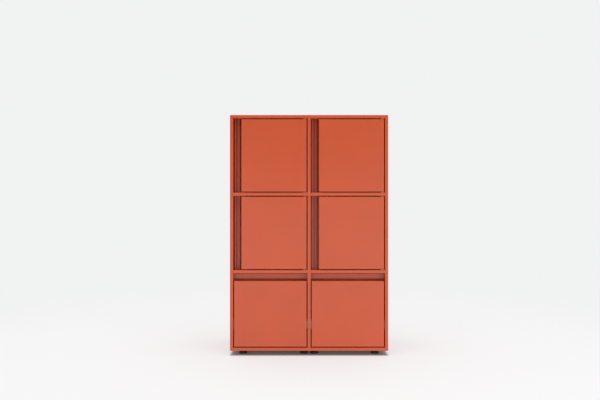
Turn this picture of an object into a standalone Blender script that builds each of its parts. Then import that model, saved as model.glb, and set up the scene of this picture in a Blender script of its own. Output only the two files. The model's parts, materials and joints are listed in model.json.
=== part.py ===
"""A free-standing sheet-steel filing cabinet: two columns of three square cells.

The upper four cells have right-hinged doors, the lower two have full-extension file drawers.
The frame is +Z up with the front towards -Y, and the origin is on the floor under the middle
of the carcass. All sizes are in metres.
"""

import bmesh
import bpy
from mathutils import Matrix, Vector

# Driving sizes
PITCH = 0.392  # from one panel's middle to the next, across and up
PANEL = 0.016  # thickness of every carcass panel
DEPTH = 0.430
FOOT_HEIGHT = 0.024
COLUMNS = ("left", "right")
ROWS = ("lower", "middle", "upper")
DOOR_ROWS = ("middle", "upper")

# Sheet and clearances
SKIN = 0.0008  # carcass sheet
SHEET = 0.0010  # doors, drawers and grips
FIT = 0.0003  # between neighbouring parts that touch on the real cabinet
REVEAL = 0.0048  # gap round doors and drawer fronts
SETBACK = 0.0005  # door and drawer faces behind the carcass's front edges

# Worked out from the driving sizes
OPENING = PITCH - PANEL
WIDTH = len(COLUMNS) * PITCH + PANEL
HEIGHT = FOOT_HEIGHT + len(ROWS) * PITCH + PANEL
FRONT = -DEPTH / 2
BACK = DEPTH / 2
CARCASS_BASE = FOOT_HEIGHT

# Back pan, let in between the sides, top and bottom, its flanges turned to the rear
BACK_PAN_DEPTH = 0.012
BACK_PAN_INSET = 0.001
SHELF_BACK = BACK - BACK_PAN_INSET - BACK_PAN_DEPTH - FIT

# Finger grips beside the doors and above the drawers
DOOR_GRIP = 0.042  # width of the recess beside a door
DRAWER_GRIP = 0.039  # height of the recess above a drawer
GRIP_DEPTH = 0.034  # from the front edges to the profile's lips
GRIP_GAP = 0.005  # shadow gap between the panel and the profile
GRIP_LIP = 0.0065
GRIP_WIDTH = 0.026
GRIP_GROOVE = 0.014
GRIP_LEG = 0.020
GRIP_STOP = 0.026  # flange behind the free edge of the door or drawer front

# Doors and drawer fronts
LEAF = 0.018  # thickness
RETURN_LIP = 0.014
LINER_BORDER = 0.024
LINER_SWAGE = 0.003
PIVOT_FROM_EDGE = 0.009
PIVOT_FROM_FACE = 0.008
PIVOT_RADIUS = 0.0025
PIVOT_HOLE_RADIUS = 0.0029
PIVOT_REACH = 0.010  # of the pin into the door
PIVOT_PLATE = (0.024, 0.016, 0.002)
CATCH_SIZE = (0.040, 0.014, 0.014)
CATCH_FROM_SIDE = 0.060
CATCH_GAP = 0.0004

# Drawer trays
TRAY_WIDTH = 0.350
TRAY_LENGTH = 0.375
TRAY_HEIGHT = 0.250
TRAY_ABOVE_FLOOR = 0.012
FILE_RAIL_SHELF = 0.009  # brings the rails to the width of an A4 hanging file
FILE_RAIL_LIP = 0.006
FILE_RAIL_RELIEF = 0.003

# Ball-bearing runners: (from the cabinet's wall, half height, flange) of each member's channel
RUNNER_ABOVE_FLOOR = 0.116
RUNNER_LENGTH = 0.350
RUNNER_START = 0.0005  # behind the drawer front's inner face
RUNNER_SHEET = 0.0012
RUNNER_MEMBERS = {
    "cabinet_rail": (0.0009, 0.0219, 0.0085),
    "middle_rail": (0.0041, 0.0179, 0.0066),
    "drawer_rail": (0.0119, 0.0124, -0.0055),
}

# Levelling feet: middles, and the turned outline as (radius, height)
FOOT_X = (-0.338, -0.026, 0.026, 0.338)
FOOT_X_NAMES = ("outer_left", "inner_left", "inner_right", "outer_right")
FOOT_Y = {"front": FRONT + 0.056, "rear": BACK - 0.056}
FOOT_OUTLINE = (
    (0.0, 0.0335),
    (0.0040, 0.0335),
    (0.0045, 0.0330),
    (0.0045, 0.0200),
    (0.0085, 0.0200),
    (0.0085, 0.0140),
    (0.0130, 0.0135),
    (0.0190, 0.0085),
    (0.0210, 0.0075),
    (0.0212, 0.0020),
    (0.0200, 0.0),
    (0.0, 0.0),
)
FOOT_STEPS = 24
STEM_HOLE_RADIUS = 0.0050
DRAIN_RADIUS = 0.004
ROUND_SEGMENTS = 16


def material(name, colour, roughness, metallic=0.0):
    made = bpy.data.materials.new(name)
    made.use_nodes = True
    shader = made.node_tree.nodes["Principled BSDF"]
    shader.inputs["Base Color"].default_value = (*colour, 1.0)
    shader.inputs["Roughness"].default_value = roughness
    shader.inputs["Metallic"].default_value = metallic
    made.diffuse_color = (*colour, 1.0)
    return made


def clear_scene():
    for obj in list(bpy.data.objects):
        bpy.data.objects.remove(obj, do_unlink=True)


def add_object(name, bm, finish, parent=None):
    """Makes an object of bm, whose points are given about the parent's origin."""
    mesh = bpy.data.meshes.new(name)
    bm.to_mesh(mesh)
    bm.free()
    mesh.materials.append(finish)
    obj = bpy.data.objects.new(name, mesh)
    bpy.context.scene.collection.objects.link(obj)
    obj.parent = parent
    return obj


def pivot_empty(name, at):
    empty = bpy.data.objects.new(name, None)
    empty.location = at
    bpy.context.scene.collection.objects.link(empty)
    return empty


def box(low, high):
    low, high = Vector(low), Vector(high)
    bm = bmesh.new()
    bmesh.ops.create_cube(bm, size=1.0)
    bmesh.ops.scale(bm, vec=high - low, verts=bm.verts)
    bmesh.ops.translate(bm, vec=(low + high) / 2, verts=bm.verts)
    return bm


def face_towards(bm, direction):
    direction = Vector(direction)
    return max(bm.faces, key=lambda face: face.calc_center_median().dot(direction))


def solidify(obj, thickness):
    """Gives a sheet's middle surface its thickness, the same on every fold."""
    modifier = obj.modifiers.new("sheet", "SOLIDIFY")
    modifier.solidify_mode = "NON_MANIFOLD"
    modifier.nonmanifold_thickness_mode = "CONSTRAINTS"
    modifier.thickness = thickness
    modifier.offset = 0.0


def cutter(name, bm, parent=None):
    mesh = bpy.data.meshes.new(name)
    bm.to_mesh(mesh)
    bm.free()
    obj = bpy.data.objects.new(name, mesh)
    bpy.context.scene.collection.objects.link(obj)
    obj.parent = parent
    obj.hide_render = True
    obj.display_type = "WIRE"
    return obj


def boolean(obj, other, operation="DIFFERENCE"):
    modifier = obj.modifiers.new(other.name, "BOOLEAN")
    modifier.operation = operation
    modifier.object = other


def rods(places, radius, low_z, high_z):
    """Upright cylinders at the given (x, y) places."""
    bm = bmesh.new()
    for x, y in places:
        bmesh.ops.create_cone(
            bm,
            cap_ends=True,
            segments=ROUND_SEGMENTS,
            radius1=radius,
            radius2=radius,
            depth=high_z - low_z,
            matrix=Matrix.Translation((x, y, (low_z + high_z) / 2)),
        )
    return bm


def open_tube(name, low, high, axis, finish):
    """A double-skinned panel: a flat tube folded from one sheet, its two ends along axis open."""
    across = [i for i in range(3) if i != axis]
    bm = bmesh.new()
    rings = []
    for end in (low[axis], high[axis]):
        for inset in (0.0, SKIN):
            corners = []
            for pick in ((0, 0), (1, 0), (1, 1), (0, 1)):
                point = [0.0, 0.0, 0.0]
                point[axis] = end
                for k, i in enumerate(across):
                    point[i] = high[i] - inset if pick[k] else low[i] + inset
                corners.append(bm.verts.new(point))
            rings.append(corners)
    outer_0, inner_0, outer_1, inner_1 = rings
    for first, second in ((outer_0, outer_1), (inner_0, inner_1), (outer_0, inner_0), (outer_1, inner_1)):
        for i in range(4):
            j = (i + 1) % 4
            bm.faces.new((first[i], first[j], second[j], second[i]))
    bmesh.ops.recalc_face_normals(bm, faces=bm.faces)
    return add_object(name, bm, finish)


def closed_panel(name, low, high, skin, drains, finish, parent=None):
    """A double-skinned panel closed all round, with paint-drain holes in its lower edge."""
    panel = add_object(name, box(low, high), finish, parent)
    inner_low = [value + skin for value in low]
    inner_high = [value - skin for value in high]
    boolean(panel, cutter(name + "_cavity", box(inner_low, inner_high), parent))
    holes = rods(drains, DRAIN_RADIUS, low[2] - skin, low[2] + 3 * skin)
    boolean(panel, cutter(name + "_drains", holes, parent))
    return panel


def folded_strip(name, path, start, end, place, sheet, finish, parent=None):
    """Sheet folded along path, a list of (u, v), and as long as start to end.

    place turns (u, v, distance along) into a point.
    """
    bm = bmesh.new()
    ends = [[bm.verts.new(place(u, v, t)) for u, v in path] for t in (start, end)]
    for i in range(len(path) - 1):
        bm.faces.new((ends[0][i], ends[0][i + 1], ends[1][i + 1], ends[1][i]))
    bmesh.ops.recalc_face_normals(bm, faces=bm.faces)
    strip = add_object(name, bm, finish, parent)
    solidify(strip, sheet)
    return strip


def cell_corner(column, row):
    """Low x and low z of a cell's clear opening."""
    x = -WIDTH / 2 + PANEL + COLUMNS.index(column) * PITCH
    z = CARCASS_BASE + PANEL + ROWS.index(row) * PITCH
    return x, z


def make_carcass(paint):
    side = WIDTH / 2
    top = HEIGHT
    drains = [(0.0, FRONT * 0.7), (0.0, BACK * 0.7)]
    for name, x in (("left", -side), ("right", side - PANEL)):
        places = [(x + PANEL / 2, y) for _, y in drains]
        low, high = (x, FRONT, CARCASS_BASE), (x + PANEL, BACK, top)
        closed_panel(f"{name}_side_panel", low, high, SKIN, places, paint)

    inner = side - PANEL - FIT
    low, high = (-inner, FRONT, top - PANEL), (inner, BACK, top)
    open_tube("top_panel", low, high, 0, paint)
    low, high = (-inner, FRONT, CARCASS_BASE), (inner, BACK, CARCASS_BASE + PANEL)
    bottom = open_tube("bottom_panel", low, high, 0, paint)
    stems = [(x, y) for x in FOOT_X for y in FOOT_Y.values()]
    holes = rods(stems, STEM_HOLE_RADIUS, CARCASS_BASE - SKIN, CARCASS_BASE + 3 * SKIN)
    boolean(bottom, cutter("bottom_panel_stem_holes", holes))

    low = (-PANEL / 2, FRONT, CARCASS_BASE + PANEL + FIT)
    high = (PANEL / 2, SHELF_BACK, top - PANEL - FIT)
    open_tube("centre_divider", low, high, 2, paint)
    for column in COLUMNS:
        for row in ROWS[1:]:
            x, z = cell_corner(column, row)
            low = (x + FIT, FRONT, z - PANEL)
            high = (x + OPENING - FIT, SHELF_BACK, z)
            level = {"middle": "lower", "upper": "upper"}[row]
            open_tube(f"shelf_{level}_{column}", low, high, 0, paint)
    make_back_pan(paint)


def make_back_pan(paint):
    """A shallow pan let into the back, with its flanges against the sides, top and bottom."""
    half = SKIN / 2
    side = WIDTH / 2 - PANEL - FIT - half
    rear = BACK - BACK_PAN_INSET
    low = (-side, rear - BACK_PAN_DEPTH + half, CARCASS_BASE + PANEL + FIT + half)
    high = (side, rear, HEIGHT - PANEL - FIT - half)
    bm = box(low, high)
    bmesh.ops.delete(bm, geom=[face_towards(bm, (0, 1, 0))], context="FACES_ONLY")
    solidify(add_object("back_panel", bm, paint), SKIN)


def grip_path(grooved):
    """A grip profile's fold line: (distance from the panel, depth behind the front edges)."""
    half = SHEET / 2
    lips = GRIP_DEPTH + half
    floor, back = lips + GRIP_GROOVE, lips + GRIP_LEG
    near, far = GRIP_GAP + half, GRIP_GAP + GRIP_WIDTH - half
    groove = (
        (near + GRIP_LIP, lips),
        (near + GRIP_LIP, floor),
        (far - GRIP_LIP, floor),
        (far - GRIP_LIP, lips),
    )
    return (
        (FIT + half, back),
        (FIT + half, floor),
        (near, floor),
        (near, lips),
        *(groove if grooved else ()),
        (far, lips),
        (far, back),
        (far + GRIP_STOP, back),
    )


def make_grips(paint):
    """An upright grooved profile beside each door, and a plain level one above each drawer."""
    for column in COLUMNS:
        for row in DOOR_ROWS:
            x, z = cell_corner(column, row)
            folded_strip(
                f"grip_channel_{row}_{column}",
                grip_path(grooved=True),
                z + FIT,
                z + OPENING - FIT,
                lambda u, v, t, x=x: (x + u, FRONT + v, t),
                SHEET,
                paint,
            )
        x, z = cell_corner(column, "lower")
        folded_strip(
            f"grip_rail_{column}",
            grip_path(grooved=False),
            x + FIT,
            x + OPENING - FIT,
            lambda u, v, t, z=z: (t, FRONT + v, z + OPENING - u),
            SHEET,
            paint,
        )


def make_foot(name, x, y, plastic):
    bm = bmesh.new()
    points = [bm.verts.new((radius, 0.0, height)) for radius, height in FOOT_OUTLINE]
    for a, b in zip(points, points[1:]):
        bm.edges.new((a, b))
    foot = add_object(name, bm, plastic)
    foot.location = (x, y, 0.0)
    turn = foot.modifiers.new("turned", "SCREW")
    turn.axis = "Z"
    turn.steps = FOOT_STEPS
    turn.render_steps = FOOT_STEPS
    turn.use_merge_vertices = True
    turn.merge_threshold = 1e-6
    turn.use_smooth_shade = True
    return foot


def make_pivot(name, at, upwards, paint):
    """A pivot plate on the cell's floor or ceiling, with a pin up or down into the door."""
    sign = 1 if upwards else -1
    wide, deep, thick = PIVOT_PLATE
    x, y, z = at
    near, far = sorted((z + sign * FIT, z + sign * (FIT + thick)))
    # The plate reaches from the cabinet's wall to just past the pin.
    wall = x + REVEAL + PIVOT_FROM_EDGE - FIT
    low, high = (wall - wide, y - deep / 2 + 0.001, near), (wall, y + deep / 2 + 0.001, far)
    plate = add_object(name, box(low, high), paint)
    tip = z + sign * (REVEAL + SHEET + PIVOT_REACH)
    bottom, top = sorted((z + sign * (FIT + thick / 2), tip))
    boolean(plate, cutter(name + "_pin", rods([(x, y)], PIVOT_RADIUS, bottom, top)), "UNION")
    return plate


def make_door(column, row, paint, plastic):
    x, z = cell_corner(column, row)
    left, right = x + DOOR_GRIP, x + OPENING - REVEAL
    bottom, top = z + REVEAL, z + OPENING - REVEAL
    face, inside = FRONT + SETBACK, FRONT + SETBACK + LEAF
    axis = Vector((right - PIVOT_FROM_EDGE, face + PIVOT_FROM_FACE, z))
    hinge = pivot_empty(f"hinge_{row}_{column}", axis)

    half = SHEET / 2
    low = Vector((left + half, face + half, bottom + half)) - axis
    high = Vector((right - half, inside - half, top - half)) - axis
    bm = box(low, high)
    back = face_towards(bm, (0, 1, 0))
    bmesh.ops.inset_region(bm, faces=[back], thickness=RETURN_LIP)
    bmesh.ops.delete(bm, geom=[back], context="FACES_ONLY")
    pan = add_object(f"door_pan_{row}_{column}", bm, paint, hinge)
    solidify(pan, SHEET)
    holes = rods([(0, 0)], PIVOT_HOLE_RADIUS, -REVEAL, OPENING + REVEAL)
    boolean(pan, cutter(f"door_pivot_holes_{row}_{column}", holes, hinge))

    edge = SHEET + FIT
    plane = inside - SHEET - FIT - half
    low = Vector((left + edge, plane, bottom + edge)) - axis
    high = Vector((right - edge, plane, top - edge)) - axis
    bm = bmesh.new()
    corners = [(low.x, low.z), (high.x, low.z), (high.x, high.z), (low.x, high.z)]
    field = bm.faces.new([bm.verts.new((px, low.y, pz)) for px, pz in corners])
    bmesh.ops.inset_region(bm, faces=[field], thickness=LINER_BORDER)
    bmesh.ops.inset_region(bm, faces=[field], thickness=LINER_SWAGE)
    bmesh.ops.translate(bm, vec=(0, -LINER_SWAGE, 0), verts=field.verts)
    solidify(add_object(f"door_liner_{row}_{column}", bm, paint, hinge), SHEET)

    make_pivot(f"pivot_bottom_{row}_{column}", axis, True, paint)
    make_pivot(f"pivot_top_{row}_{column}", axis + Vector((0, 0, OPENING)), False, paint)
    wide, deep, high_size = CATCH_SIZE
    low = Vector((x + CATCH_FROM_SIDE, inside + CATCH_GAP, z + OPENING - FIT - high_size))
    housing = box(low, low + Vector((wide, deep, high_size)))
    catch = add_object(f"magnet_catch_{row}_{column}", housing, plastic)
    bevel = catch.modifiers.new("rounded", "BEVEL")
    bevel.width = 0.0015
    bevel.segments = 2


def tray_mesh(low, high):
    """Middle surface of a drawer tray with a shelf and an upright lip along each side's top."""
    bm = bmesh.new()
    x0, y0, z0 = low
    x1, y1, z1 = high
    relief = FILE_RAIL_RELIEF

    def ring(z):
        return [bm.verts.new(p) for p in ((x0, y0, z), (x1, y0, z), (x1, y1, z), (x0, y1, z))]

    floor, rim = ring(z0), ring(z1)
    bm.faces.new(floor)
    bm.faces.new((floor[0], floor[1], rim[1], rim[0]))
    bm.faces.new((floor[2], floor[3], rim[3], rim[2]))
    for side, first, second in ((x0, 0, 3), (x1, 1, 2)):
        inwards = FILE_RAIL_SHELF if side == x0 else -FILE_RAIL_SHELF
        rows = []
        for x, z in ((side, z1), (side + inwards, z1), (side + inwards, z1 + FILE_RAIL_LIP)):
            rows.append([bm.verts.new((x, y, z)) for y in (y0 + relief, y1 - relief)])
        bm.faces.new((floor[first], floor[second], rim[second], rows[0][1], rows[0][0], rim[first]))
        bm.faces.new((*rows[0], *reversed(rows[1])))
        bm.faces.new((*rows[1], *reversed(rows[2])))
    bmesh.ops.recalc_face_normals(bm, faces=bm.faces)
    return bm


def make_runners(column, centre_x, floor_z, start, steel, drawer, sliding):
    """The three nested channels of each runner, one runner on each side of the tray."""
    parents = {"cabinet_rail": None, "middle_rail": sliding, "drawer_rail": drawer}
    z = floor_z + RUNNER_ABOVE_FLOOR
    for member, (web, half_height, flange) in RUNNER_MEMBERS.items():
        path = (
            (web + flange, -half_height),
            (web, -half_height),
            (web, half_height),
            (web + flange, half_height),
        )
        for side, sign in (("left", 1), ("right", -1)):
            wall = centre_x - sign * OPENING / 2
            parent = parents[member]
            origin = parent.location if parent else Vector((0, 0, 0))
            folded_strip(
                f"{column}_drawer_{member}_{side}",
                path,
                start,
                start + RUNNER_LENGTH,
                lambda u, v, t, s=sign, w=wall, o=origin: Vector((w + s * u, t, z + v)) - o,
                RUNNER_SHEET,
                steel,
                parent,
            )


def make_drawer(column, paint, steel):
    x, z = cell_corner(column, "lower")
    centre = x + OPENING / 2
    face, inside = FRONT + SETBACK, FRONT + SETBACK + LEAF
    drawer = pivot_empty(f"drawer_{column}", (centre, face, z))
    sliding = pivot_empty(f"drawer_{column}_middle", (centre, inside, z))
    origin = drawer.location

    low = Vector((x + REVEAL, face, z + REVEAL)) - origin
    high = Vector((x + OPENING - REVEAL, inside, z + OPENING - DRAWER_GRIP)) - origin
    drains = [(low.x * 0.8, LEAF / 2), (high.x * 0.8, LEAF / 2)]
    closed_panel(f"drawer_front_{column}", low, high, SHEET, drains, paint, drawer)

    half = SHEET / 2
    front = inside + FIT + half
    base = z + TRAY_ABOVE_FLOOR + half
    low = Vector((centre - TRAY_WIDTH / 2 + half, front, base)) - origin
    high = Vector((centre + TRAY_WIDTH / 2 - half, front + TRAY_LENGTH, base + TRAY_HEIGHT)) - origin
    solidify(add_object(f"drawer_tray_{column}", tray_mesh(low, high), paint, drawer), SHEET)
    make_runners(column, centre, z, inside + RUNNER_START, steel, drawer, sliding)


def main():
    clear_scene()
    paint = material("powder_coat", (0.60, 0.095, 0.032), 0.45)
    plastic = material("black_plastic", (0.02, 0.02, 0.02), 0.5)
    steel = material("zinc_plated_steel", (0.62, 0.63, 0.64), 0.35, 1.0)
    make_carcass(paint)
    make_grips(paint)
    for end, y in FOOT_Y.items():
        for place, x in zip(FOOT_X_NAMES, FOOT_X):
            make_foot(f"foot_{end}_{place}", x, y, plastic)
    for column in COLUMNS:
        for row in DOOR_ROWS:
            make_door(column, row, paint, plastic)
        make_drawer(column, paint, steel)


main()
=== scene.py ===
"""Looks of a sheet-steel filing cabinet: folded and welded panels, doors on pins, drawers on
ball-bearing runners and levelling feet, in a pale studio.

Each CAD node is replaced by a finer piece that is built from the node's own box: sheet parts get
real bends and thickness, and screws, balls, bushes and nuts are added. All sizes are in metres.
"""

import json
import math

import bmesh
import bpy
from mathutils import Matrix, Vector


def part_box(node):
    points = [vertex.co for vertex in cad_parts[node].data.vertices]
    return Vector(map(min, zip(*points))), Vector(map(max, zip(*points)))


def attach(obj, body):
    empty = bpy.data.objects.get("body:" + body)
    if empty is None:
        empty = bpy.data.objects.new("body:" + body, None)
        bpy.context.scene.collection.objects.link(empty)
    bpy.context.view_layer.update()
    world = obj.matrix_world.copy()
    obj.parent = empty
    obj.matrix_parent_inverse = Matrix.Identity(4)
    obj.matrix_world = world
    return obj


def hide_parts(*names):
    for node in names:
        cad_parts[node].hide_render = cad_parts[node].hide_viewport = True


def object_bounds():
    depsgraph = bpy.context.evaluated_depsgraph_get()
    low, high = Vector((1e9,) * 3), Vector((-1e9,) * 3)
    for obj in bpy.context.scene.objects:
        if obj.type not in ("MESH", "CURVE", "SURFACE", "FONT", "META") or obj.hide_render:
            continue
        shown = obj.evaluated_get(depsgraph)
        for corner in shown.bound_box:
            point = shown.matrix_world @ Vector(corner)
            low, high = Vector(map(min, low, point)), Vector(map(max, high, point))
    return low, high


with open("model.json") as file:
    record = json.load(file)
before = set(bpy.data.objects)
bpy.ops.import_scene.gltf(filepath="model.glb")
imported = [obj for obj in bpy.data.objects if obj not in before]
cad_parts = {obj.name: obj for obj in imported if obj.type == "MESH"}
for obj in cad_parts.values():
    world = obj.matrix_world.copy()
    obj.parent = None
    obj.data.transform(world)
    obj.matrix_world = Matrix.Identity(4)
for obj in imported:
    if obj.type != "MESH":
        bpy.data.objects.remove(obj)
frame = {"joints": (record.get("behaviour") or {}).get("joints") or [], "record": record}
CAD_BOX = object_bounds()
BODY_OF = {node: body for body, nodes in frame["record"]["behaviour"]["bodies"].items() for node in nodes}

COLUMNS = ("left", "right")
DOORS = [f"{row}_{column}" for row in ("upper", "middle") for column in COLUMNS]
AXES = (Vector((1, 0, 0)), Vector((0, 1, 0)), Vector((0, 0, 1)))
X, Y, Z = AXES

# Paint, in linear light
PAINT = (0.580, 0.0725, 0.0118)
BLACK = (0.022, 0.022, 0.022)

# Sheet metal
SKIN = 0.0008  # carcass
SHEET = 0.0010  # doors, drawers and grips
RUNNER_SHEET = 0.0012
FIT = 0.0003  # between neighbouring parts
BEND = 0.0011  # radius of a fold, at the middle of the sheet
BEND_STEPS = 4
CUT_EDGE = 0.00018  # rounding that the paint gives a cut edge
PANEL_RADIUS = 0.0016  # of a closed panel's edges
LEAST_FOLD = 0.15  # radians between two faces, below which their edge stays as it is
SHARP = math.radians(38)
PAST = 0.01  # how far a cutter starts outside what it cuts

# Carcass
DRAIN_RADIUS = 0.004
DRAIN_DEPTH = 0.012
STEM_HOLE_RADIUS = 0.005
STEM_HOLE_DEPTH = 0.004
BACK_SCREW_EDGE = 0.012

# Grip profiles, in the finger recess beside each door and above each drawer front
GRIP_GAP = 0.005
GRIP_LIP = 0.0065
GRIP_WIDTH = 0.026
GRIP_GROOVE = 0.014
GRIP_STOP = 0.026  # flange behind the edge of the door or drawer front
GRIP_BEND = 0.0008

# Doors
RETURN_LIP = 0.014
LINER_BORDER = 0.024
LINER_SWAGE = 0.003
LINER_BEND = 0.0016
PIVOT_RADIUS = 0.0025
PIVOT_HOLE_RADIUS = 0.0029
PIVOT_PLATE = 0.002
PIVOT_SCREWS = ((-0.0065, 0.0045), (0.0090, 0.0045))  # (x, y) from the pin
PLATE_CORNER = 0.004
ROUND_STEPS = 28  # around a screw, a pin or its hole

# Drawer trays
FILE_RAIL_SHELF = 0.009
FILE_RAIL_LIP = 0.006
FILE_RAIL_RELIEF = 0.003
TRAY_BEND = 0.0009
FRONT_SCREW_X = 0.12
FRONT_SCREW_HEIGHTS = (0.045, 0.205)

# Runner members, about the runner's middle: where the web and the ends of the arms are, from the
# cabinet's wall, half the height, and where a lip that turns back from each arm ends
RUNNER_MEMBERS = {
    "cabinet": (0.0009, 0.0088, 0.0219, 0.0200),
    "middle": (0.0041, 0.0102, 0.0179, 0.0160),
    "drawer": (0.0119, 0.0064, 0.0124, None),
}
RUNNER_BEND = 0.0009
RUNNER_SLOTS = (0.28, 0.50, 0.72)  # shares of the runner's length, as RUNNER_SCREWS is
RUNNER_SCREWS = (0.1, 0.4, 0.9)
SLOT_RADIUS = 0.0022
SLOT_LENGTH = 0.008

# Ball cages: web, ends of the arms and half the height as above, then the two shares of the
# runner's length that the cage lies between
CAGES = {
    "outer": (0.00305, 0.0078, 0.0199, (0.56, 0.92)),
    "inner": (0.0053, 0.0088, 0.0151, (0.08, 0.44)),
}
CAGE_SHEET = 0.0005
CAGE_BEND = 0.0006
BALLS_PER_ARM = 10
BALL_RADIUS = 0.00125
BALL_FROM_ARM_END = 0.0017
POCKET_GAP = 0.00008
POCKET_REACH = 0.002

# Screw heads, and the depth of a countersunk one
PAN_RADIUS = 0.0036
PAN_HEIGHT = 0.0022
FLUSH_RADIUS = 0.0026
FLUSH_ROOT = 0.0013
FLUSH_DEPTH = 0.0016
SCREW_TURN = math.radians(37)  # from one screw's cross to the next one's

# Levelling feet, with heights above the floor
THREAD_PITCH = 0.00125
THREAD_RADIUS = 0.0040
THREAD_DEPTH = 0.0007
ROWS_PER_TURN = 4
STEM_BOTTOM = 0.0202
NUT_ACROSS_FLATS = 0.013
NUT_HEIGHT = 0.0050
NUT_MIDDLE = 0.0176

# Camera, with its distance measured from the cabinet's front
CAMERA_LENS = 38.0
CAMERA_SENSOR = 36.0
CAMERA_FROM_FRONT = 3.2
CAMERA_X = -0.046
CAMERA_Z = 0.7865

# Studio
BACKGROUND = (0.885, 0.887, 0.892, 1.0)
SKY_STRENGTH = 1.0
FLOOR_TONE = 0.42
FLOOR_GLOW = 0.58
FLOOR_RADIUS = 5.5
FADE_START = 1.0
FADE_END = 3.2
# Painted shadow under the cabinet: the share of the floor's glow left there, and the width of its soft edge
GLOW_IN_PAINTED_SHADOW = 0.09
PAINTED_SHADOW_EDGE = 0.01
TENT_GLOW = 0.76
TENT_RADIUS = 6.0
FLAG_GLOW = 0.05
FLAG_BOX = ((-3.0, -5.1, 0.9), (3.0, -5.08, 3.2))
SOFTBOXES = (  # name, place, target, width, height and watts
    ("overhead", (0.0, -0.4, 3.6), (0.0, -0.1, 0.0), 5.0, 4.0, 50.0),
    ("front_right", (2.3, -2.7, 0.9), (0.0, -0.1, 0.6), 1.8, 1.8, 18.0),
    ("front_left", (-2.3, -2.7, 0.9), (0.0, -0.1, 0.6), 1.8, 1.8, 10.0),
    ("front_low", (0.0, -3.8, 0.5), (0.0, 0.0, 0.3), 3.6, 0.7, 7.0),
)


# ---------------------------------------------------------------- materials


def nodes_of(name):
    """A new material, with its node tree and its shader."""
    made = bpy.data.materials.new(name)
    made.use_nodes = True
    tree = made.node_tree
    return made, tree, tree.nodes["Principled BSDF"]


def noise(tree, scale, detail=2.0):
    """Noise over the object's own coordinates, so its size is in lengths of 1 / scale metres."""
    place = tree.nodes.new("ShaderNodeTexCoord")
    made = tree.nodes.new("ShaderNodeTexNoise")
    made.inputs["Scale"].default_value = scale
    made.inputs["Detail"].default_value = detail
    tree.links.new(place.outputs["Object"], made.inputs["Vector"])
    return made.outputs["Fac"]


def ramp(tree, value, low, high, start=0.3, end=0.7):
    """Turns start to end into the colours low to high."""
    made = tree.nodes.new("ShaderNodeValToRGB")
    first, last = made.color_ramp.elements
    first.position, last.position = start, end
    first.color, last.color = (*low, 1.0), (*high, 1.0)
    tree.links.new(value, made.inputs["Fac"])
    return made.outputs["Color"]


def between(tree, value, low, high, start=0.3, end=0.7, interpolation="LINEAR"):
    """Turns start to end into the numbers low to high."""
    made = tree.nodes.new("ShaderNodeMapRange")
    made.interpolation_type = interpolation
    made.inputs["From Min"].default_value = start
    made.inputs["From Max"].default_value = end
    made.inputs["To Min"].default_value = low
    made.inputs["To Max"].default_value = high
    tree.links.new(value, made.inputs["Value"])
    return made.outputs["Result"]


def vector_math(tree, operation, first, second=None):
    """A node that works on an output, and on a fixed vector where the operation takes two."""
    made = tree.nodes.new("ShaderNodeVectorMath")
    made.operation = operation
    tree.links.new(first, made.inputs[0])
    if second is not None:
        made.inputs[1].default_value = second
    return made


def number_math(tree, operation, first, second):
    """The result of an operation on two outputs."""
    made = tree.nodes.new("ShaderNodeMath")
    made.operation = operation
    tree.links.new(first, made.inputs[0])
    tree.links.new(second, made.inputs[1])
    return made.outputs["Value"]


def bump(tree, shader, value, depth, strength):
    """Makes value the height of a relief that is depth metres deep at full strength."""
    made = tree.nodes.new("ShaderNodeBump")
    made.inputs["Distance"].default_value = depth
    made.inputs["Strength"].default_value = strength
    tree.links.new(value, made.inputs["Height"])
    tree.links.new(made.outputs["Normal"], shader.inputs["Normal"])


def shaded(colour, by):
    return tuple(channel * by for channel in colour)


def powder_coat():
    """Terracotta powder coat: fine orange peel, and tone and sheen that drift over each panel."""
    made, tree, shader = nodes_of("powder_coat")
    shader.inputs["Specular IOR Level"].default_value = 0.75
    tone = ramp(tree, noise(tree, 4.0), shaded(PAINT, 0.96), shaded(PAINT, 1.04))
    sheen = between(tree, noise(tree, 60.0), 0.33, 0.41)
    tree.links.new(tone, shader.inputs["Base Color"])
    tree.links.new(sheen, shader.inputs["Roughness"])
    orange_peel = noise(tree, 900.0, detail=1.0)
    bump(tree, shader, orange_peel, depth=0.00006, strength=0.35)
    return made


def zinc_plate():
    """Bright zinc plate with a fine mottle."""
    made, tree, shader = nodes_of("zinc_plated_steel")
    shader.inputs["Metallic"].default_value = 1.0
    mottle = noise(tree, 220.0, detail=3.0)
    tone = ramp(tree, mottle, (0.52, 0.54, 0.56), (0.68, 0.69, 0.70))
    tree.links.new(tone, shader.inputs["Base Color"])
    tree.links.new(between(tree, mottle, 0.24, 0.40), shader.inputs["Roughness"])
    bump(tree, shader, noise(tree, 1500.0, detail=1.0), depth=0.00003, strength=0.3)
    return made


def moulded(name, colour, roughness):
    """Moulded plastic with a fine grain."""
    made, tree, shader = nodes_of(name)
    grain = noise(tree, 1200.0)
    tone = ramp(tree, noise(tree, 90.0), shaded(colour, 0.85), shaded(colour, 1.15))
    gloss = between(tree, grain, roughness - 0.07, roughness + 0.07)
    tree.links.new(tone, shader.inputs["Base Color"])
    tree.links.new(gloss, shader.inputs["Roughness"])
    bump(tree, shader, grain, depth=0.00008, strength=0.5)
    return made


FINISHES = {
    "powder_coat": powder_coat(),
    "zinc_plated_steel": zinc_plate(),
    "black_plastic": moulded("black_plastic", BLACK, 0.55),
}


# ---------------------------------------------------------------- mesh tools


def link(name, bm):
    """Turns bm into an object of the scene."""
    mesh = bpy.data.meshes.new(name)
    bm.to_mesh(mesh)
    bm.free()
    obj = bpy.data.objects.new(name, mesh)
    bpy.context.scene.collection.objects.link(obj)
    return obj


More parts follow.
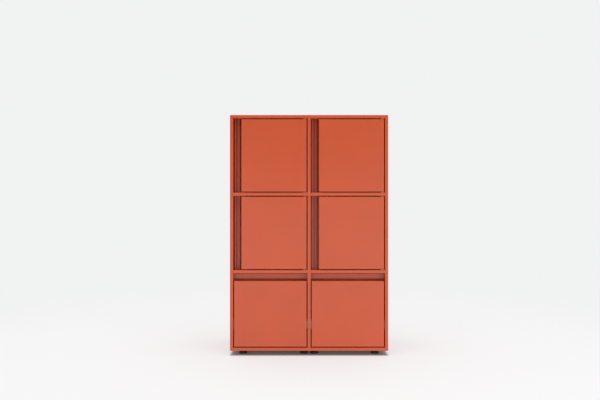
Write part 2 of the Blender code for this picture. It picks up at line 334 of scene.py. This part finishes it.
def settle(obj):
    """Applies the object's modifiers and shades its round parts smooth."""
    graph = bpy.context.evaluated_depsgraph_get()
    mesh = bpy.data.meshes.new_from_object(obj.evaluated_get(graph))
    obj.modifiers.clear()
    obj.data = mesh
    mesh.shade_smooth()
    mesh.set_sharp_from_angle(angle=SHARP)
    return obj


def finish(obj, body, slot="powder_coat", stands_for=()):
    """Gives the piece its material and says which body it rides on and which nodes it replaces."""
    obj.data.materials.clear()
    obj.data.materials.append(FINISHES[slot])
    even = obj.modifiers.new("even_shading", "WEIGHTED_NORMAL")
    even.keep_sharp = True
    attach(obj, body)
    if stands_for:
        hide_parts(*stands_for)


def stand_in(obj, node, slot="powder_coat"):
    """Finishes a piece that stands for one CAD node and rides on that node's body."""
    finish(obj, BODY_OF[node], slot, (node,))


def box_mesh(low, high, open_towards=()):
    """A box without the faces that look along open_towards."""
    low, high = Vector(low), Vector(high)
    bm = bmesh.new()
    bmesh.ops.create_cube(bm, size=1.0)
    bmesh.ops.scale(bm, vec=high - low, verts=bm.verts)
    bmesh.ops.translate(bm, vec=(low + high) / 2, verts=bm.verts)
    bm.normal_update()
    gone = [f for f in bm.faces if any(f.normal.dot(way) > 0.9 for way in open_towards)]
    bmesh.ops.delete(bm, geom=gone, context="FACES")
    return bm


def shrunk(low, high, by):
    step = Vector((by, by, by))
    return low + step, high - step


def rounded(bm, radius, steps=BEND_STEPS):
    """Rounds every fold or edge between two faces that aren't level."""
    bm.normal_update()
    folds = [e for e in bm.edges if len(e.link_faces) == 2 and e.calc_face_angle() > LEAST_FOLD]
    bmesh.ops.bevel(bm, geom=folds, offset=radius, segments=steps, profile=0.5, affect="EDGES")
    return bm


def sheet_metal(name, bm, thickness, bend=BEND):
    """Sheet whose middle surface is bm, with round folds and softened cut edges."""
    obj = link(name, rounded(bm, bend))
    thick = obj.modifiers.new("thickness", "SOLIDIFY")
    thick.solidify_mode = "NON_MANIFOLD"
    thick.nonmanifold_thickness_mode = "CONSTRAINTS"
    thick.thickness = thickness
    thick.offset = 0.0
    soften(obj, CUT_EDGE)
    return settle(obj)


def soften(obj, width, steps=2):
    """Adds a modifier that rounds the object's sharp edges."""
    soft = obj.modifiers.new("soft_edges", "BEVEL")
    soft.width = width
    soft.segments = steps
    soft.limit_method = "ANGLE"
    soft.angle_limit = SHARP
    soft.use_clamp_overlap = True


def cut(obj, *cutters):
    """Cuts the meshes out of the object, and drops them."""
    tool = link(obj.name + "_tool", together(cutters))
    boolean = obj.modifiers.new("tool", "BOOLEAN")
    boolean.operation = "DIFFERENCE"
    boolean.object = tool
    bpy.context.view_layer.update()
    settle(obj)
    bpy.data.objects.remove(tool)


def together(parts):
    """One mesh of several."""
    whole = bmesh.new()
    for part in parts:
        mesh = bpy.data.meshes.new("part")
        part.to_mesh(mesh)
        part.free()
        whole.from_mesh(mesh)
        bpy.data.meshes.remove(mesh)
    return whole


def turned(outline, steps, centre=(0, 0, 0), axis=Z):
    """A solid of revolution: outline is (radius, height) from one end of the axis to the other."""
    bm = bmesh.new()
    points = [bm.verts.new((radius, 0, height)) for radius, height in outline]
    edges = [bm.edges.new(pair) for pair in zip(points, points[1:])]
    bmesh.ops.spin(bm, geom=points + edges, cent=(0, 0, 0), axis=(0, 0, 1), angle=math.tau,
                   steps=steps, use_merge=True)
    bmesh.ops.remove_doubles(bm, verts=bm.verts, dist=1e-7)
    bmesh.ops.recalc_face_normals(bm, faces=bm.faces)
    turn = axis.to_track_quat("Z", "Y").to_matrix().to_4x4()
    bmesh.ops.transform(bm, matrix=Matrix.Translation(centre) @ turn, verts=bm.verts)
    return bm


def drill(radius, bottom, top, centre, steps=24):
    """A cutter for a round hole along Z, from bottom to top above the centre."""
    return turned([(0, bottom), (radius, bottom), (radius, top), (0, top)], steps, centre)


def folded_strip(path, start, end, place):
    """Middle surface of a strip folded along path, a list of (u, v), from start to end."""
    bm = bmesh.new()
    ends = [[bm.verts.new(place(u, v, t)) for u, v in path] for t in (start, end)]
    for i in range(len(path) - 1):
        bm.faces.new((ends[0][i], ends[0][i + 1], ends[1][i + 1], ends[1][i]))
    bmesh.ops.recalc_face_normals(bm, faces=bm.faces)
    return bm


# ---------------------------------------------------------------- fasteners


def cross_recess(head, reach, bottom, top):
    """Cuts a tapered cross, as a driver leaves it, into a screw head that points along +Z."""
    arm_width, taper = 0.25, 0.55
    for along in (X, Y):
        half = along * reach + Z.cross(along) * arm_width * reach
        wide = Vector((abs(half.x), abs(half.y), 0))
        bar = box_mesh(Z * bottom - wide, Z * top + wide)
        for vertex in bar.verts:
            if vertex.co.z < (bottom + top) / 2:
                vertex.co.xy *= taper
        cut(head, bar)
    return head


def pan_screw():
    """A pan head with its seat at the origin and its crown along +Z."""
    radius, height = PAN_RADIUS, PAN_HEIGHT
    flat, crown = 0.55 * radius, 0.35 * height
    outline = [(0.0, height)]
    for degrees in range(0, 91, 15):
        turn = math.radians(degrees)
        outline.append((flat + (radius - flat) * math.sin(turn), height - crown * (1 - math.cos(turn))))
    outline += [(radius, 0.15 * height), (radius * 0.96, 0.0), (0.0, 0.0)]
    head = link("pan_screw", turned(outline, ROUND_STEPS))
    return cross_recess(head, 0.52 * radius, 0.38 * height, 1.6 * height)


def flush_screw():
    """A countersunk head whose flat top is at the origin."""
    edge, recess = 0.0001, 0.0009
    outline = [(0, 0), (FLUSH_RADIUS - edge, 0), (FLUSH_RADIUS, -edge), (FLUSH_ROOT, -FLUSH_DEPTH),
               (0, -FLUSH_DEPTH)]
    head = link("flush_screw", turned(outline, ROUND_STEPS))
    return cross_recess(head, 0.55 * FLUSH_RADIUS, -recess, recess)


PAN_SCREW = pan_screw()
FLUSH_SCREW = flush_screw()


def screws(name, body, places, way, size=1.0, pattern=PAN_SCREW):
    """A group of screws with their seats at places, their heads towards way."""
    bm = bmesh.new()
    turn = way.to_track_quat("Z", "Y").to_matrix().to_4x4()
    for i, place in enumerate(places):
        spin = Matrix.Rotation(SCREW_TURN * i, 4, "Z")
        mesh = pattern.data.copy()
        mesh.transform(Matrix.Translation(place) @ turn @ spin @ Matrix.Scale(size, 4))
        bm.from_mesh(mesh)
        bpy.data.meshes.remove(mesh)
    finish(settle(link(name, bm)), body, "zinc_plated_steel")


# ---------------------------------------------------------------- carcass


def closed_panel(node, drains):
    """A double-skinned panel, closed all round, with paint-drain holes in its lower edge."""
    low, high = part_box(node)
    obj = settle(link(node + "_shell", rounded(box_mesh(low, high), PANEL_RADIUS)))
    cut(obj, *(drill(DRAIN_RADIUS, low.z - PAST, low.z + DRAIN_DEPTH, (x, y, 0)) for x, y in drains))
    stand_in(obj, node)


def tube_panel(node, axis, holes=()):
    """A double-skinned panel folded into a flat tube, its ends butted to its neighbours."""
    low, high = shrunk(*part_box(node), SKIN / 2)
    low[axis] -= SKIN / 2
    high[axis] += SKIN / 2
    obj = sheet_metal(node + "_shell", box_mesh(low, high, (AXES[axis], -AXES[axis])), SKIN)
    if holes:
        cut(obj, *holes)
    stand_in(obj, node)


def feet():
    return [node for node in BODY_OF if node.startswith("foot_")]


def middle_of(node):
    low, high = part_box(node)
    return (low + high) / 2


def make_carcass():
    """All the fixed panels, the shelves and the back."""
    for side in COLUMNS:
        node = f"{side}_side_panel"
        low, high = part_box(node)
        closed_panel(node, [((low.x + high.x) / 2, 0.7 * y) for y in (low.y, high.y)])
    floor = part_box("bottom_panel")[0].z
    stems = [drill(STEM_HOLE_RADIUS, floor - PAST, floor + STEM_HOLE_DEPTH, (*middle_of(foot).xy, 0))
             for foot in feet()]
    tube_panel("top_panel", 0)
    tube_panel("bottom_panel", 0, stems)
    tube_panel("centre_divider", 2)
    for level in ("lower", "upper"):
        for column in COLUMNS:
            tube_panel(f"shelf_{level}_{column}", 0)
    make_back()


def make_back():
    """A pan with screws at the height of each shelf and of each cell's middle."""
    low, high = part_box("back_panel")
    inner, outer = shrunk(low, high, SKIN / 2)
    outer.y = high.y
    pan = sheet_metal("back_panel_shell", box_mesh(inner, outer, (Y,)), SKIN)
    stand_in(pan, "back_panel")
    web = low.y + SKIN
    lower, upper = (middle_of(f"shelf_{level}_left").z for level in ("lower", "upper"))
    half_pitch = (upper - lower) / 2
    columns = [low.x + BACK_SCREW_EDGE, (low.x + high.x) / 2, high.x - BACK_SCREW_EDGE]
    rows = [low.z + BACK_SCREW_EDGE, lower, upper, high.z - BACK_SCREW_EDGE]
    cells = [lower - half_pitch, lower + half_pitch, upper + half_pitch]
    places = [(x, web, z) for x in columns for z in rows]
    places += [(x, web, z) for x in columns for z in cells]
    places += [((columns[i] + columns[i + 1]) / 2, web, z) for i in (0, 1) for z in rows]
    screws("back_panel_screws", "cabinet", places, Y)


# ---------------------------------------------------------------- grips


def grip_path(depth, grooved):
    """A profile's fold line: (distance from the panel, depth behind its lips)."""
    half = SHEET / 2
    near, far = GRIP_GAP + half, GRIP_GAP + GRIP_WIDTH - half
    floor, back = GRIP_GROOVE + half, depth - half
    groove = (
        (near + GRIP_LIP, half),
        (near + GRIP_LIP, floor),
        (far - GRIP_LIP, floor),
        (far - GRIP_LIP, half),
    )
    return (
        (FIT + half, back),
        (FIT + half, floor),
        (near, floor),
        (near, half),
        *(groove if grooved else ()),
        (far, half),
        (far, back),
        (far + GRIP_STOP, back),
    )


def make_grips():
    """A grooved profile beside each door, and a plain one above each drawer."""
    for where in DOORS:
        node = f"grip_channel_{where}"
        low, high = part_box(node)
        path = grip_path(high.y - low.y, grooved=True)
        bm = folded_strip(path, low.z, high.z, lambda u, v, t: (low.x - FIT + u, low.y + v, t))
        stand_in(sheet_metal(node + "_profile", bm, SHEET, GRIP_BEND), node)
    for column in COLUMNS:
        node = f"grip_rail_{column}"
        low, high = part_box(node)
        path = grip_path(high.y - low.y, grooved=False)
        bm = folded_strip(path, low.x, high.x, lambda u, v, t: (t, low.y + v, high.z + FIT - u))
        stand_in(sheet_metal(node + "_profile", bm, SHEET, GRIP_BEND), node)


# ---------------------------------------------------------------- doors


def hinge_of(body):
    """A point on the axis of the joint that the body turns on."""
    joint = next(joint for joint in frame["joints"] if joint["child"] == body)
    return Vector(joint["pos_m"])


def make_door(where):
    """A door's pan, with the liner, bushes, pivots and catch that go with it."""
    body = f"door_{where}"
    pivot = hinge_of(body)
    node = f"door_pan_{where}"
    low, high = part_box(node)
    bm = box_mesh(*shrunk(low, high, SHEET / 2))
    back = max(bm.faces, key=lambda face: face.calc_center_median().y)
    bmesh.ops.inset_region(bm, faces=[back], thickness=RETURN_LIP)
    bmesh.ops.delete(bm, geom=[back], context="FACES")
    pan = sheet_metal(node + "_shell", bm, SHEET)
    cut(pan, drill(PIVOT_HOLE_RADIUS, low.z - PAST, high.z + PAST, (*pivot.xy, 0), ROUND_STEPS))
    stand_in(pan, node)
    make_liner(where)
    make_bushes(where, body, pivot, low.z, high.z)
    for end, up in (("bottom", True), ("top", False)):
        make_pivot(f"pivot_{end}_{where}", pivot, up)
    make_catch(f"magnet_catch_{where}")


def make_liner(where):
    """The sheet that closes a door's back, with a shallow swage around its field."""
    node = f"door_liner_{where}"
    low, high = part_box(node)
    plane = high.y - SHEET / 2
    bm = bmesh.new()
    corners = [(low.x, low.z), (high.x, low.z), (high.x, high.z), (low.x, high.z)]
    field = bm.faces.new([bm.verts.new((x, plane, z)) for x, z in corners])
    bmesh.ops.inset_region(bm, faces=[field], thickness=LINER_BORDER)
    bmesh.ops.inset_region(bm, faces=[field], thickness=LINER_SWAGE)
    bmesh.ops.translate(bm, vec=(0, -LINER_SWAGE, 0), verts=field.verts)
    stand_in(sheet_metal(node + "_sheet", bm, SHEET, LINER_BEND), node)


# Outline of a bush, as (radius, distance out of the door's end)
BUSH = (
    (0.00255, -0.004),
    (0.00255, 0.0008),
    (0.0049, 0.0008),
    (0.0052, 0.0005),
    (0.0052, 0.00005),
    (0.00285, 0.00005),
    (0.00285, -0.004),
    (0.00255, -0.004),
)


def make_bushes(where, body, pivot, bottom, top):
    """Flanged bushes that line the pivot holes, top and bottom."""
    rings = [turned([(radius, end + way * out) for radius, out in BUSH], 36, (*pivot.xy, 0))
             for end, way in ((bottom, -1), (top, 1))]
    finish(settle(link(f"door_bushes_{where}", together(rings))), body, "black_plastic")


def make_pivot(node, pivot, up):
    """A painted plate fixed to the cell's floor or ceiling, with the steel pin that the door turns on."""
    low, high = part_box(node)
    seat, tip, way = (low.z, high.z, 1) if up else (high.z, low.z, -1)
    face = seat + way * PIVOT_PLATE
    bm = box_mesh((low.x, low.y, min(seat, face)), (high.x, high.y, max(seat, face)))
    upright = [e for e in bm.edges if abs((e.verts[0].co - e.verts[1].co).z) > PIVOT_PLATE / 2]
    bmesh.ops.bevel(bm, geom=upright, offset=PLATE_CORNER, segments=6, profile=0.5, affect="EDGES")
    plate = link(node + "_plate", bm)
    soften(plate, 0.0003)
    settle(plate)
    places = [(pivot.x + x, pivot.y + y, face) for x, y in PIVOT_SCREWS]
    gap, through = 0.0001, 0.003
    rim, root = FLUSH_RADIUS + 0.00008, FLUSH_ROOT + gap
    hole = [(0, 0.001), (rim, 0.001), (rim, -gap), (root, -FLUSH_DEPTH - gap), (root, -through),
            (0, -through)]
    cut(plate, *(turned(hole, ROUND_STEPS, place, Z * way) for place in places))
    stand_in(plate, node)
    screws(node + "_screws", "cabinet", places, Z * way, pattern=FLUSH_SCREW)

    # (radius, height where the pin leaves the plate or ends, distance past that)
    collar = PIVOT_RADIUS + 0.0011
    outline = (
        (0.0, face, -0.0005),
        (collar, face, -0.0005),
        (collar, face, 0.0005),
        (collar - 0.0003, face, 0.0008),
        (PIVOT_RADIUS, face, 0.0008),
        (PIVOT_RADIUS, tip, -0.0012),
        (PIVOT_RADIUS - 0.0009, tip, -0.0002),
        (PIVOT_RADIUS - 0.0012, tip, 0.0),
        (0.0, tip, 0.0),
    )
    pin = turned([(radius, z + way * past) for radius, z, past in outline], ROUND_STEPS, (*pivot.xy, 0))
    finish(settle(link(node + "_pin", pin)), "cabinet", "zinc_plated_steel")


def make_catch(node):
    """A magnetic catch: a moulded housing with two steel poles and two fixing screws."""
    low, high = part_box(node)
    housing = link(node + "_housing", box_mesh(low, high))
    soften(housing, 0.0015, 4)
    settle(housing)
    middle = (low + high) / 2
    border, depth = Vector((0.0115, 0, 0.0030)), Y * 0.002
    slot_low = low + border - depth
    slot_high = Vector((high.x, low.y, high.z)) - border + depth
    cut(housing, box_mesh(slot_low, slot_high))
    stand_in(housing, node, "black_plastic")
    poles = []
    from_slot_end, half_thick = 0.0005, 0.0008
    for z in (middle.z - 0.0023, middle.z + 0.0023):
        start = Vector((slot_low.x + from_slot_end, low.y + 0.0001, z - half_thick))
        end = Vector((slot_high.x - from_slot_end, low.y + 0.0018, z + half_thick))
        poles.append(rounded(box_mesh(start, end), 0.0002, 2))
    finish(settle(link(node + "_poles", together(poles))), "cabinet", "zinc_plated_steel")
    from_end = 0.0055
    places = [(x, middle.y, low.z) for x in (low.x + from_end, high.x - from_end)]
    screws(node + "_screws", "cabinet", places, -Z, 0.8)


# ---------------------------------------------------------------- drawers


def tray_mesh(low, high):
    """Middle surface of a drawer tray: a box, with a shelf and a lip along the top of each side."""
    bm = bmesh.new()
    rim_z = high.z - FILE_RAIL_LIP

    def ring(z):
        corners = ((low.x, low.y, z), (high.x, low.y, z), (high.x, high.y, z), (low.x, high.y, z))
        return [bm.verts.new(corner) for corner in corners]

    floor, rim = ring(low.z), ring(rim_z)
    bm.faces.new(floor)
    bm.faces.new((floor[0], floor[1], rim[1], rim[0]))
    bm.faces.new((floor[2], floor[3], rim[3], rim[2]))
    for side, inwards, first, second in ((low.x, 1, 0, 3), (high.x, -1, 1, 2)):
        ledge = side + inwards * FILE_RAIL_SHELF
        ends = (low.y + FILE_RAIL_RELIEF, high.y - FILE_RAIL_RELIEF)
        rows = [[bm.verts.new((x, y, z)) for y in ends]
                for x, z in ((side, rim_z), (ledge, rim_z), (ledge, high.z))]
        bm.faces.new((floor[first], floor[second], rim[second], rows[0][1], rows[0][0], rim[first]))
        bm.faces.new((*rows[0], *reversed(rows[1])))
        bm.faces.new((*rows[1], *reversed(rows[2])))
    bmesh.ops.recalc_face_normals(bm, faces=bm.faces)
    return bm


def make_drawer(column):
    """A drawer's front, its tray and the runners on both sides of it."""
    body = f"drawer_{column}"
    front = f"drawer_front_{column}"
    low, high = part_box(front)
    middle = (low + high) / 2
    closed_panel(front, [(middle.x + side * 0.4 * (high.x - low.x), middle.y) for side in (-1, 1)])

    tray = f"drawer_tray_{column}"
    inner, outer = shrunk(*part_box(tray), SHEET / 2)
    outer.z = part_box(tray)[1].z
    stand_in(sheet_metal(tray + "_shell", tray_mesh(inner, outer), SHEET, TRAY_BEND), tray)
    face = inner.y + SHEET / 2
    places = [(middle.x + x, face, inner.z + z) for x in (-FRONT_SCREW_X, FRONT_SCREW_X)
              for z in FRONT_SCREW_HEIGHTS]
    screws(f"drawer_front_screws_{column}", body, places, Y)
    for side, way in (("left", 1), ("right", -1)):
        make_runner(column, side, way)


def channel(web, arm, half_height):
    """The fold line of a U, whose two arms run from web to arm."""
    return (arm, -half_height), (web, -half_height), (web, half_height), (arm, half_height)


def make_runner(column, side, way):
    """One runner: three nested members, two ball cages and the screws of the outer two."""
    low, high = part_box(f"{column}_drawer_cabinet_rail_{side}")
    wall = low.x - FIT if way > 0 else high.x + FIT
    height = (low.z + high.z) / 2
    start, end = low.y, high.y

    def place(u, v, t):
        return wall + way * u, t, height + v

    def along(share):
        return start + share * (end - start)

    for member, (web, arm, half_height, lip) in RUNNER_MEMBERS.items():
        node = f"{column}_drawer_{member}_rail_{side}"
        path = channel(web, arm, half_height)
        if lip:
            path = ((arm, -lip), *path, (arm, lip))
        bm = folded_strip(path, start, end, place)
        rail = sheet_metal(node + "_channel", bm, RUNNER_SHEET, RUNNER_BEND)
        cut(rail, *(slot_hole(place(web, 0, along(share))) for share in RUNNER_SLOTS))
        stand_in(rail, node, "zinc_plated_steel")
    fixed = (("cabinet", "cabinet", 1, 0.55), ("drawer", f"drawer_{column}", -1, 0.62))
    for member, body, inwards, size in fixed:
        face = RUNNER_MEMBERS[member][0] + inwards * RUNNER_SHEET / 2
        places = [place(face, 0, along(share)) for share in RUNNER_SCREWS]
        screws(f"{column}_drawer_{member}_rail_{side}_screws", body, places, X * way * inwards, size)
    for which, (web, arm, half_height, (first, last)) in CAGES.items():
        make_cage(f"{column}_drawer_{which}_ball_cage_{side}", f"drawer_{column}_middle_rails", place,
                  (web, arm, half_height), (along(first), along(last)))


def slot_hole(centre):
    """A cutter for a slot with round ends that lies along Y and runs through a web along X."""
    reach, steps = 0.004, 10
    outline = []
    for shift, turn in ((SLOT_LENGTH / 2, -math.pi / 2), (-SLOT_LENGTH / 2, math.pi / 2)):
        for i in range(steps + 1):
            angle = turn + math.pi * i / steps
            outline.append((shift + SLOT_RADIUS * math.cos(angle), SLOT_RADIUS * math.sin(angle)))
    bm = bmesh.new()
    near, far = ([bm.verts.new((centre[0] + x, centre[1] + y, centre[2] + z)) for y, z in outline]
                 for x in (-reach, reach))
    bm.faces.new(near)
    bm.faces.new(far)
    for i in range(len(outline)):
        j = (i + 1) % len(outline)
        bm.faces.new((near[i], near[j], far[j], far[i]))
    bmesh.ops.recalc_face_normals(bm, faces=bm.faces)
    return bm


def make_cage(name, body, place, shape, span):
    """A ball retainer between two members: a U of thin sheet, with balls along both of its arms."""
    arm, half_height = shape[1:]
    cage = sheet_metal(name, folded_strip(channel(*shape), *span, place), CAGE_SHEET, CAGE_BEND)
    step = (span[1] - span[0]) / BALLS_PER_ARM
    spots = [place(arm - BALL_FROM_ARM_END, v, span[0] + (i + 0.5) * step)
             for v in (-half_height, half_height) for i in range(BALLS_PER_ARM)]
    cut(cage, *(drill(BALL_RADIUS + POCKET_GAP, -POCKET_REACH, POCKET_REACH, spot, 16) for spot in spots))
    finish(cage, body, "zinc_plated_steel")
    balls = bmesh.new()
    for spot in spots:
        bmesh.ops.create_icosphere(balls, subdivisions=2, radius=BALL_RADIUS, matrix=Matrix.Translation(spot))
    finish(settle(link(name + "_balls", balls)), body, "zinc_plated_steel")


# ---------------------------------------------------------------- feet

# Outline of a foot's pad, as (radius, height above the floor)
PAD = (
    (0.0, 0.0003), (0.0175, 0.0003), (0.0178, 0.0), (0.0200, 0.0),
    (0.0208, 0.0006), (0.0212, 0.0018), (0.0212, 0.0062), (0.0208, 0.0074),
    (0.0196, 0.0084), (0.0140, 0.0124), (0.0128, 0.0132), (0.0098, 0.0136),
    (0.0092, 0.0141), (0.0092, 0.0146), (0.0088, 0.0149), (0.0, 0.0149),
)


def thread_mesh(bottom, top, centre):
    """A threaded stem: a helix of ridges, closed at both ends."""
    bm = bmesh.new()
    rings = []
    steps = 24
    rows = ROWS_PER_TURN * int((top - bottom) / THREAD_PITCH)
    for row in range(rows + 1):
        ring = []
        z = bottom + (top - bottom) * row / rows
        for i in range(steps):
            phase = (row / ROWS_PER_TURN + i / steps) % 1.0
            radius = THREAD_RADIUS - THREAD_DEPTH * abs(2 * phase - 1)
            if row in (0, rows):
                radius = THREAD_RADIUS - THREAD_DEPTH
            angle = math.tau * i / steps
            spot = (centre.x + radius * math.cos(angle), centre.y + radius * math.sin(angle), z)
            ring.append(bm.verts.new(spot))
        rings.append(ring)
    for below, above in zip(rings, rings[1:]):
        for i in range(steps):
            j = (i + 1) % steps
            bm.faces.new((below[i], below[j], above[j], above[i]))
    bm.faces.new(list(reversed(rings[0])))
    bm.faces.new(rings[-1])
    return bm


def make_foot(node):
    """A moulded pad, with the steel stem and lock nut above it."""
    low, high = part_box(node)
    centre = (low + high) / 2
    ground = Vector((centre.x, centre.y, 0))
    stand_in(settle(link(node + "_pad", turned(PAD, 56, ground))), node, "black_plastic")
    corner = NUT_ACROSS_FLATS / math.sqrt(3)
    bm = bmesh.new()
    bmesh.ops.create_cone(bm, cap_ends=True, segments=6, radius1=corner, radius2=corner,
                          depth=NUT_HEIGHT, matrix=Matrix.Translation(ground + Z * NUT_MIDDLE))
    nut = link(node + "_nut", bm)
    soften(nut, 0.0006, 3)
    finish(settle(nut), "cabinet", "zinc_plated_steel")
    stem = link(node + "_stem", thread_mesh(STEM_BOTTOM, high.z, centre))
    finish(settle(stem), "cabinet", "zinc_plated_steel")


# ---------------------------------------------------------------- studio


def make_studio():
    """Sky, pale floor and lamps, with a glowing tent and a dark flag that the camera doesn't see."""
    scene = bpy.context.scene
    scene.view_settings.view_transform = "Standard"
    world = bpy.data.worlds.new("studio")
    scene.world = world
    world.use_nodes = True
    sky = world.node_tree.nodes["Background"]
    sky.inputs["Color"].default_value = BACKGROUND
    sky.inputs["Strength"].default_value = SKY_STRENGTH

    disc = bmesh.new()
    bmesh.ops.create_circle(disc, cap_ends=True, segments=96, radius=FLOOR_RADIUS)
    floor = link("floor", disc)
    floor.data.materials.append(pale_floor())

    dome = bmesh.new()
    bmesh.ops.create_uvsphere(dome, u_segments=48, v_segments=24, radius=TENT_RADIUS)
    below = [v for v in dome.verts if v.co.z < -0.01]
    bmesh.ops.delete(dome, geom=below, context="VERTS")
    tent = link("tent", dome)
    tent.data.materials.append(studio_cloth("tent_cloth", TENT_GLOW))
    flag = link("flag", box_mesh(*FLAG_BOX))
    flag.data.materials.append(studio_cloth("flag_cloth", FLAG_GLOW))
    for obj in (tent, flag):
        obj.visible_camera = False
    for softbox in SOFTBOXES:
        make_softbox(*softbox)


def pale_floor():
    """Lit near the cabinet, and turning into the background's own glow further out; the glow drops away under
    the cabinet, which paints a shadow there.
    """
    made, tree, shader = nodes_of("pale_floor")
    shader.inputs["Specular IOR Level"].default_value = 0.0
    shader.inputs["Emission Color"].default_value = BACKGROUND
    place = tree.nodes.new("ShaderNodeTexCoord").outputs["Object"]
    radius = vector_math(tree, "LENGTH", place).outputs["Value"]
    far = between(tree, radius, 0.0, 1.0, FADE_START, FADE_END, "SMOOTHSTEP")
    tone = ramp(tree, far, (FLOOR_TONE,) * 3, (0.0,) * 3, 0.0, 1.0)
    tree.links.new(tone, shader.inputs["Base Color"])

    # Painted shadow: the floor's glow drops to almost nothing under the cabinet's footprint
    beyond = vector_math(tree, "ABSOLUTE", place).outputs["Vector"]
    beyond = vector_math(tree, "SUBTRACT", beyond, CAD_BOX[1]).outputs["Vector"]
    split = tree.nodes.new("ShaderNodeSeparateXYZ")
    tree.links.new(beyond, split.inputs["Vector"])
    nearest = number_math(tree, "MAXIMUM", split.outputs["X"], split.outputs["Y"])
    clear = between(tree, nearest, GLOW_IN_PAINTED_SHADOW, 1.0, -PAINTED_SHADOW_EDGE, PAINTED_SHADOW_EDGE, "SMOOTHSTEP")
    glow = number_math(tree, "MULTIPLY", between(tree, far, FLOOR_GLOW, 1.0, 0.0, 1.0), clear)
    tree.links.new(glow, shader.inputs["Emission Strength"])
    return made


def studio_cloth(name, glow):
    """Cloth that gives off an even light, or next to none."""
    made, tree, shader = nodes_of(name)
    shader.inputs["Base Color"].default_value = (0.0, 0.0, 0.0, 1.0)
    shader.inputs["Specular IOR Level"].default_value = 0.0
    shader.inputs["Emission Strength"].default_value = 1.0
    grey = (glow,) * 3
    weave = ramp(tree, noise(tree, 3.0), shaded(grey, 0.95), shaded(grey, 1.05))
    tree.links.new(weave, shader.inputs["Emission Color"])
    return made


def make_softbox(name, place, target, width, height, watts):
    """A soft rectangular lamp, out of the camera's sight."""
    lamp = bpy.data.lights.new(name, "AREA")
    lamp.shape = "RECTANGLE"
    lamp.size = width
    lamp.size_y = height
    lamp.energy = watts
    obj = bpy.data.objects.new(name, lamp)
    obj.location = place
    obj.rotation_euler = (Vector(target) - Vector(place)).to_track_quat("-Z", "Y").to_euler()
    obj.visible_camera = False
    bpy.context.scene.collection.objects.link(obj)


def make_camera():
    """Square on to the front, a little left of the middle, as in the photograph."""
    data = bpy.data.cameras.new("camera")
    data.sensor_width = CAMERA_SENSOR
    data.lens = CAMERA_LENS
    camera = bpy.data.objects.new("camera", data)
    camera.location = (CAMERA_X, CAD_BOX[0].y - CAMERA_FROM_FRONT, CAMERA_Z)
    camera.rotation_euler = (math.radians(90), 0, 0)
    bpy.context.scene.collection.objects.link(camera)
    bpy.context.scene.camera = camera


make_carcass()
make_grips()
for door in DOORS:
    make_door(door)
for drawer in COLUMNS:
    make_drawer(drawer)
for foot_node in feet():
    make_foot(foot_node)
for pattern_screw in (PAN_SCREW, FLUSH_SCREW):
    bpy.data.objects.remove(pattern_screw)
make_studio()
make_camera()
